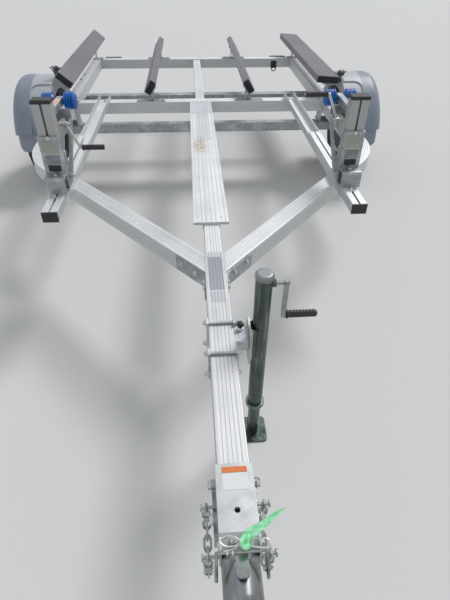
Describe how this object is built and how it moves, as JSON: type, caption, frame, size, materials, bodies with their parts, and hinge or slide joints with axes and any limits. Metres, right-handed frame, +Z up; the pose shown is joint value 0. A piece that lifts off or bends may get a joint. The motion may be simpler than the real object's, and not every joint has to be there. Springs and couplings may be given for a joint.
{
  "type": "boat trailer",
  "caption": "Aluminium boat trailer for small craft with a bent rail frame, carpeted bunks, winch stands, a side jack and a ball coupler.",
  "frame": {"origin": "on the ground under the middle of the bounding box", "axes": "+Z up, -Y toward the coupler, +X to the right seen from behind the coupler looking along +Y"},
  "size_m": [2.5, 4.69, 0.955],
  "materials": {
    "mill_aluminium": "mill extruded, fine draw lines",
    "galvanised_steel": "hot dip galvanised, dull",
    "jack_zinc": "dark zinc, glossy",
    "zinc_plate": "zinc plated",
    "tyre_rubber": "matte rubber, dusty",
    "wheel_metal": "galvanised look, satin",
    "fender_plastic": "moulded, satin",
    "bunk_carpet": "looped outdoor carpet",
    "black_plastic": "moulded",
    "roller_blue": "soft moulded, ribbed",
    "strap_webbing": "woven webbing",
    "lamp_red": "lens"
  },
  "bodies": {
    "frame": {"axle_hangers": "galvanised_steel", "axle_tube": "galvanised_steel", "base_beam_left": "mill_aluminium", "base_beam_right": "mill_aluminium", "bow_arm_left": "galvanised_steel", "bow_arm_right": "galvanised_steel", "bunk_brackets_inner": "galvanised_steel", "bunk_brackets_outer": "galvanised_steel", "bunk_inner_left": "bunk_carpet", "bunk_inner_right": "bunk_carpet", "bunk_outer_left": "bunk_carpet", "bunk_outer_right": "bunk_carpet", "coupler_body": "zinc_plate", "fender_brackets": "galvanised_steel", "fender_left": "fender_plastic", "fender_right": "fender_plastic", "front_crossbeam": "mill_aluminium", "jack_mount": "galvanised_steel", "lower_crossbeam": "galvanised_steel", "main_rail_left": "mill_aluminium", "main_rail_right": "mill_aluminium", "post_foot_left": "galvanised_steel", "post_foot_right": "galvanised_steel", "rear_crossbeam": "mill_aluminium", "safety_chains": "zinc_plate", "spine_front": "mill_aluminium", "spine_rear": "mill_aluminium", "stand_caps_left": "black_plastic", "stand_caps_right": "black_plastic", "tail_lights": "lamp_red", "tongue": "mill_aluminium", "tongue_brackets": "galvanised_steel", "torsion_arm_left": "galvanised_steel", "torsion_arm_right": "galvanised_steel", "walkway_plank": "mill_aluminium", "winch_channel_left": "mill_aluminium", "winch_channel_right": "mill_aluminium", "winch_frame_left": "zinc_plate", "winch_frame_right": "zinc_plate", "winch_post_left": "mill_aluminium", "winch_post_right": "mill_aluminium"},
    "wheel_left": {"tyre_left": "tyre_rubber", "wheel_rim_left": "wheel_metal"},
    "wheel_right": {"tyre_right": "tyre_rubber", "wheel_rim_right": "wheel_metal"},
    "jack": {"jack_tube": "jack_zinc"},
    "jack_leg": {"jack_leg": "jack_zinc"},
    "jack_crank": {"jack_crank": "zinc_plate", "jack_grip": "black_plastic"},
    "winch_drum_left": {"winch_drum_left": "zinc_plate", "winch_strap_left": "strap_webbing"},
    "winch_drum_right": {"winch_drum_right": "zinc_plate", "winch_strap_right": "strap_webbing"},
    "winch_crank_left": {"winch_crank_left": "zinc_plate", "winch_grip_left": "black_plastic"},
    "winch_crank_right": {"winch_crank_right": "zinc_plate", "winch_grip_right": "black_plastic"},
    "bow_rollers_left": {"bow_rollers_left": "roller_blue"},
    "bow_rollers_right": {"bow_rollers_right": "roller_blue"},
    "coupler_latch": {"coupler_latch": "zinc_plate"}
  },
  "joints": [
    {"name": "wheel_spin_left", "type": "hinge", "parent": "frame", "child": "wheel_left", "pos_m": [-1.133, 0.845, 0.305], "axis": [1, 0, 0], "continuous": true},
    {"name": "wheel_spin_right", "type": "hinge", "parent": "frame", "child": "wheel_right", "pos_m": [1.133, 0.845, 0.305], "axis": [1, 0, 0], "continuous": true},
    {"name": "winch_drum_left", "type": "hinge", "parent": "frame", "child": "winch_drum_left", "pos_m": [-0.664, -0.515, 0.803], "axis": [1, 0, 0], "continuous": true},
    {"name": "winch_crank_left", "type": "hinge", "parent": "frame", "child": "winch_crank_left", "pos_m": [-0.664, -0.559, 0.823], "axis": [1, 0, 0], "continuous": true},
    {"name": "bow_rollers_left", "type": "hinge", "parent": "frame", "child": "bow_rollers_left", "pos_m": [-0.664, -0.39, 0.87], "axis": [1, 0, 0], "continuous": true},
    {"name": "winch_drum_right", "type": "hinge", "parent": "frame", "child": "winch_drum_right", "pos_m": [0.638, -0.515, 0.803], "axis": [1, 0, 0], "continuous": true},
    {"name": "winch_crank_right", "type": "hinge", "parent": "frame", "child": "winch_crank_right", "pos_m": [0.638, -0.559, 0.823], "axis": [1, 0, 0], "continuous": true},
    {"name": "bow_rollers_right", "type": "hinge", "parent": "frame", "child": "bow_rollers_right", "pos_m": [0.638, -0.39, 0.87], "axis": [1, 0, 0], "continuous": true},
    {"name": "jack_stow", "type": "hinge", "parent": "frame", "child": "jack", "pos_m": [0, -1.595, 0.4969], "axis": [-1, 0, 0], "range_deg": [0, 90]},
    {"name": "jack_lift", "type": "slide", "parent": "jack", "child": "jack_leg", "axis": [0, 0, -1], "range_m": [0, 0.25]},
    {"name": "jack_crank", "type": "hinge", "parent": "jack", "child": "jack_crank", "pos_m": [0.122, -1.595, 0.712], "axis": [1, 0, 0], "continuous": true},
    {"name": "coupler_latch", "type": "hinge", "parent": "frame", "child": "coupler_latch", "pos_m": [0, -2.217, 0.5409], "axis": [-1, 0, 0], "range_deg": [0, 75]}
  ],
  "couplings": [
    {"joint": "winch_crank_left", "follows": "winch_drum_left", "ratio": -3.1667},
    {"joint": "winch_crank_right", "follows": "winch_drum_right", "ratio": -3.1667}
  ]
}
